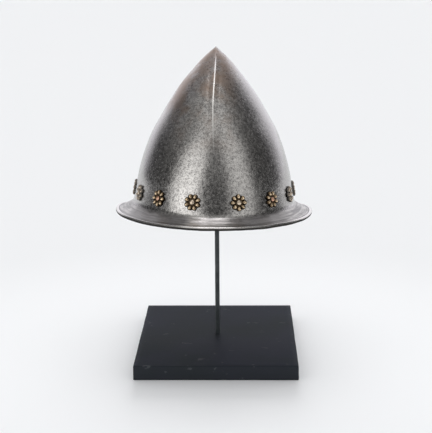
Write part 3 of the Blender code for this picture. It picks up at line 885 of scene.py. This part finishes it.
def rosette_seat(angle):
    """A rosette's own frame: +Z out of the skull and +Y up it."""
    here = skull_point(ROSETTE_SHARE, angle)
    along = (skull_point(ROSETTE_SHARE, angle + SLOPE_STEP) - here).normalized()
    up = (skull_point(ROSETTE_SHARE + SLOPE_STEP, angle) - here).normalized()
    outward = along.cross(up).normalized()
    up = outward.cross(along).normalized()
    turned = Matrix((along, up, outward)).transposed().to_4x4()
    return helmet_seat @ Matrix.Translation(here) @ turned


seats = [rosette_seat(angle) for angle in rosette_angles()]
for number, seat in enumerate(seats, start=1):
    half_petal = math.pi / PETALS * ((number + 1) % 2)
    placed = seat @ Matrix.Translation((0, 0, SEAT_GAP)) @ Matrix.Rotation(half_petal, 4, "Z")
    bm = rosette_bmesh(float(number in GREY_ROSETTES))
    new_piece(f"petal_rosette_{number:02d}", bm, old_brass, f"rosette_{number:02d}", placed)


# The rivets: brass, a little redder than the rosettes. A domed head fills the rosette's eye, the shank
# goes through the skull, and its end is hammered flat over a leather band's place inside.

RIVET_HEAD_RADIUS = 0.0033
RIVET_HEAD_RISE = 0.0020
RIVET_INNER_RADIUS = 0.0028
RIVET_INNER_RISE = 0.0010
RIVET_SIDES = 32
RIVET_HEAD_STEPS = 8
RIVET_FACET = 0.00012
RIVET_FACET_SPAN = 0.0016

RIVET_BRASS = (0.860, 0.720, 0.560)
RIVET_COPPER = (0.760, 0.460, 0.320)
COPPER_RIVETS = (2, 6, 9, 13)
RIVET_BROWN = (0.130, 0.075, 0.042)
# Where each rivet's head turns darker towards its edge, as shares of its radius.
RIVET_DARK_EDGE = (0.62, 1.0)
RIVET_SKIN_SHARE = 0.5

rivet_brass, tree, shader = new_material("rubbed rivet brass", metallic=1.0)
place = object_place(tree)
skin = use_group(tree, blotches, Place=place, Size=0.0030, Cover=0.45, Softness=0.12)["Mask"]
cast = use_group(tree, grain, Place=place, Size=0.0009, Contrast=1.6)["Grain"]
colour = mix_colours(tree, mesh_layer(tree, "redder"), RIVET_BRASS, RIVET_COPPER)
colour = mix_colours(tree, times(tree, skin, RIVET_SKIN_SHARE), colour, RIVET_BROWN)
colour = mix_colours(tree, smooth_step(tree, mesh_layer(tree, "hollow"), *RIVET_DARK_EDGE), colour, BRASS_BLACK)
connect(tree, colour, shader.inputs["Base Color"])
connect(tree, smooth_step(tree, cast, 0.0, 1.0, low=0.30, high=0.46), shader.inputs["Roughness"])
add_bump(tree, shader, cast, strength=0.5, distance=0.0001)


def dome_profile(radius, rise, height):
    """From a dome's top down to its edge, for a head whose flat side is at the given height."""
    turns = [math.pi / 2 * k / RIVET_HEAD_STEPS for k in range(RIVET_HEAD_STEPS + 1)]
    return [(radius * math.sin(turn), height + rise * math.cos(turn)) for turn in turns]


rivet_face = SEAT_GAP + ROSETTE_FLOOR + SEAT_GAP
rivet_inside = -SHEET - SEAT_GAP
profile = dome_profile(RIVET_HEAD_RADIUS, RIVET_HEAD_RISE, rivet_face)
profile += [(RIVET_SHANK_RADIUS, rivet_face), (RIVET_SHANK_RADIUS, rivet_inside)]
profile += dome_profile(RIVET_INNER_RADIUS, -RIVET_INNER_RISE, rivet_inside)[::-1]
for number, seat in enumerate(seats, start=1):
    bm = turned_mesh(profile, RIVET_SIDES)
    sunk = bm.verts.layers.float.new("hollow")
    redder = bm.verts.layers.float.new("redder")
    for vert in bm.verts:
        vert[sunk] = vert.co.xy.length / RIVET_HEAD_RADIUS
        vert[redder] = float(number in COPPER_RIVETS)
        if vert.co.z > rivet_face and vert.co.xy.length > 0:
            vert.co.z += RIVET_FACET * noise.noise(vert.co / RIVET_FACET_SPAN + Vector((0, 0, number)))
    new_piece(f"domed_rivet_{number:02d}", bm, rivet_brass, f"rivet_{number:02d}", seat)


# The studio: the stand is on a wide sweep of pale paper, under two soft lights from above and behind, with
# an even fill. The polished steel sees more: a dim room with two tall soft boxes in front, a lit backdrop,
# a light overhead and a dark flag at one side.

# The paper's colour near the stand and far off, and the distances between which it changes: a painted pool of
# light.
PAPER_NEAR = (0.925, 0.935, 0.953)
PAPER_FAR = (0.837, 0.846, 0.862)
PAPER_SHADING = (0.20, 0.60)
PAPER_ROUGHNESS = 0.9
PAPER_RADIUS = 12.0
PAPER_SIDES = 96

# The lamps: name, strength, and in degrees the spread and the tilt from straight down.
LAMPS = (("broad_back_light", 0.70, 60, 50), ("low_back_light", 2.74, 20, 80))
LAMP_TURN = math.radians(-1)
FILL = 0.756
VIEW_PALE = (0.890, 0.902, 0.918)

# What the steel sees round it, in degrees: azimuths from the camera's side, + towards +X, and elevations
# above the floor. A pair is where a change starts and where it is full.
ROOM_TINT = (1.000, 0.998, 0.985)
BACK_TINT = (0.985, 0.975, 1.035)
BACK_TINT_SIDES = (90, 140)
ROOM_DARK = 0.065
CEILING = 0.38
CEILING_RISE = (12, 62)
BACKDROP = 1.15
BACKDROP_TURN = -4
BACKDROP_SIDES = (119, 153)
BACKDROP_TOP = (74, 44)
ZENITH = 4.0
ZENITH_RISE = (64, 84)
ZENITH_SIDES = (90, 150)
ZENITH_IN_FRONT = 0.3
FLAG_SHADE = 0.52
FLAG_AZIMUTH = 105
FLAG_SIDES = (38, 12)
FLAG_TOP = (62, 42)
FLAG_FOOT = (14, 28)
SOFT_BOX_EDGE = (0.35, 1.0)
SOFT_BOX_COLUMNS = ("Centre", "Lean", "Half_width", "Full_to", "Top", "Strength")
SOFT_BOXES = ((-55, 0.42, 32, 0, 77, 1.75), (51, 0.0, 30, 23, 86, 0.67))

bm = bmesh.new()
bmesh.ops.create_circle(bm, cap_ends=True, segments=PAPER_SIDES, radius=PAPER_RADIUS)
paper_mesh = bpy.data.meshes.new("paper")
bm.to_mesh(paper_mesh)
bm.free()
paper_floor = bpy.data.objects.new("paper_floor", paper_mesh)
bpy.context.scene.collection.objects.link(paper_floor)
paper, tree, shader = new_material("pale paper", specular=0.0)
shader.inputs["Roughness"].default_value = PAPER_ROUGHNESS
# A painted pool of light: the paper is paler near the stand and darker farther out.
across = add_node(tree, "ShaderNodeVectorMath", {0: object_place(tree)}, operation="LENGTH").outputs["Value"]
shading = smooth_step(tree, across, *PAPER_SHADING)
connect(tree, mix_colours(tree, shading, PAPER_NEAR, PAPER_FAR), shader.inputs["Base Color"])
paper_mesh.materials.append(paper)

for name, strength, spread, tilt in LAMPS:
    lamp = bpy.data.lights.new(name, "SUN")
    lamp.energy = strength
    lamp.angle = math.radians(spread)
    lamp_object = bpy.data.objects.new(name, lamp)
    lamp_object.rotation_euler = (-math.radians(tilt), LAMP_TURN, 0)
    lamp_object.visible_glossy = False
    bpy.context.scene.collection.objects.link(lamp_object)

# One soft box: a patch of light round its azimuth, from the floor up to its top. Its middle line leans
# sideways by Lean degrees for each degree of elevation.
soft_box, taken, given = new_group(
    "Soft box",
    (("Azimuth", "Float"), ("Elevation", "Float"), ("Centre", "Float"), ("Lean", "Float"),
     ("Half width", "Float"), ("Full to", "Float"), ("Top", "Float"), ("Strength", "Float")),
    (("Light", "Float"),),
)
middle = maths(soft_box, "MULTIPLY_ADD", taken["Lean"], taken["Elevation"], taken["Centre"])
off = maths(soft_box, "DIVIDE", off_by(soft_box, taken["Azimuth"], middle), taken["Half width"])
side = smooth_step(soft_box, off, *SOFT_BOX_EDGE, low=1.0, high=0.0)
over = smooth_step(soft_box, taken["Elevation"], taken["Full to"], taken["Top"], low=1.0, high=0.0)
connect(soft_box, times(soft_box, side, over, taken["Strength"]), given["Light"])

world = bpy.data.worlds.new("studio")
bpy.context.scene.world = world
world.use_nodes = True
tree = world.node_tree
tree.nodes.clear()
towards = tree.nodes.new("ShaderNodeTexCoord").outputs["Generated"]
parts = add_node(tree, "ShaderNodeSeparateXYZ", {0: towards}).outputs
azimuth = maths(tree, "DEGREES", maths(tree, "ARCTAN2", parts["X"], times(tree, parts["Y"], -1.0)))
elevation = maths(tree, "DEGREES", maths(tree, "ARCSINE", parts["Z"]))
turned_away = maths(tree, "ABSOLUTE", azimuth)

flag = smooth_step(tree, off_by(tree, azimuth, FLAG_AZIMUTH), *FLAG_SIDES)
flag = times(tree, flag, smooth_step(tree, elevation, *FLAG_TOP))
flag = times(tree, flag, smooth_step(tree, elevation, *FLAG_FOOT, high=FLAG_SHADE))
light = smooth_step(tree, elevation, *CEILING_RISE, low=ROOM_DARK, high=CEILING)
light = times(tree, light, maths(tree, "SUBTRACT", 1.0, flag))
backdrop = smooth_step(tree, off_by(tree, azimuth, BACKDROP_TURN), *BACKDROP_SIDES, high=BACKDROP)
backdrop = times(tree, backdrop, smooth_step(tree, elevation, *BACKDROP_TOP))
light = maths(tree, "MAXIMUM", light, backdrop)
zenith = smooth_step(tree, elevation, *ZENITH_RISE, high=ZENITH)
zenith = times(tree, zenith, smooth_step(tree, turned_away, *ZENITH_SIDES, low=ZENITH_IN_FRONT))
light = maths(tree, "ADD", light, zenith)
for row in SOFT_BOXES:
    columns = dict(zip(SOFT_BOX_COLUMNS, row))
    box = use_group(tree, soft_box, Azimuth=azimuth, Elevation=elevation, **columns)
    light = maths(tree, "ADD", light, box["Light"])

# The paper and the paint take the even fill, the steel's reflections the room, and the view the pale wall.
ray = add_node(tree, "ShaderNodeLightPath").outputs
fill = add_node(tree, "ShaderNodeBackground", {"Color": (1, 1, 1, 1), "Strength": FILL}).outputs[0]
tint = mix_colours(tree, smooth_step(tree, turned_away, *BACK_TINT_SIDES), ROOM_TINT, BACK_TINT)
room = add_node(tree, "ShaderNodeBackground", {"Color": tint, "Strength": light}).outputs[0]
pale = add_node(tree, "ShaderNodeBackground", {"Color": (*VIEW_PALE, 1.0), "Strength": 1.0}).outputs[0]
whole = add_node(tree, "ShaderNodeMixShader", {0: ray["Is Glossy Ray"], 1: fill, 2: room}).outputs[0]
whole = add_node(tree, "ShaderNodeMixShader", {0: ray["Is Camera Ray"], 1: whole, 2: pale}).outputs[0]
connect(tree, whole, tree.nodes.new("ShaderNodeOutputWorld").inputs["Surface"])


# The camera: a long lens at the helmet's height, looking a little down on it.

CAMERA_AIM = Vector((-0.00116, 0.0, 0.17423))
CAMERA_DISTANCE = 1.53246
CAMERA_AZIMUTH = math.radians(1.206)
CAMERA_ELEVATION = math.radians(12.826)
CAMERA_ROLL = math.radians(-0.393)
CAMERA_LENS = 99.91
CAMERA_SENSOR = 36.0
CAMERA_REACH = 100.0

lens = bpy.data.cameras.new("lens")
lens.sensor_fit = "VERTICAL"
lens.sensor_height = CAMERA_SENSOR
lens.lens = CAMERA_LENS
lens.clip_end = CAMERA_REACH
camera = bpy.data.objects.new("camera", lens)
bpy.context.scene.collection.objects.link(camera)
camera.matrix_world = (
    Matrix.Translation(CAMERA_AIM)
    @ Matrix.Rotation(CAMERA_AZIMUTH, 4, "Z")
    @ Matrix.Rotation(math.pi / 2 - CAMERA_ELEVATION, 4, "X")
    @ Matrix.Rotation(CAMERA_ROLL, 4, "Z")
    @ Matrix.Translation((0, 0, CAMERA_DISTANCE))
)
bpy.context.scene.camera = camera
bpy.context.scene.view_settings.view_transform = "Standard"

bpy.context.view_layer.update()
